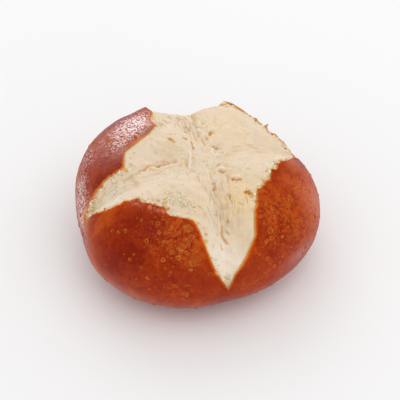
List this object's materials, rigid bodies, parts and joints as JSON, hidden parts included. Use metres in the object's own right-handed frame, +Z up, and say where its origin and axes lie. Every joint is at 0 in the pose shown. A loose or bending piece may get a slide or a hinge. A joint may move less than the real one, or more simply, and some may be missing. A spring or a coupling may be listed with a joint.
{
  "type": "pretzel roll",
  "caption": "Round brown-crusted lye roll, torn open on top along a cross cut into lobes of glossy crust round pale crumb, standing on its flat base.",
  "frame": {"origin": "middle of the bounding box, at the base", "axes": "+Z up out of the torn top, +X to the right and -Y towards the viewer, with the longest open arm of the cut running towards -Y"},
  "size_m": [0.0996, 0.0962, 0.0514],
  "materials": {
    "crust": "baked lye crust, glossy red-brown with small golden blisters",
    "crumb": "torn cream bread crumb, dry and matte"
  },
  "bodies": {
    "root": {"roll": "crust"}
  },
  "joints": []
}
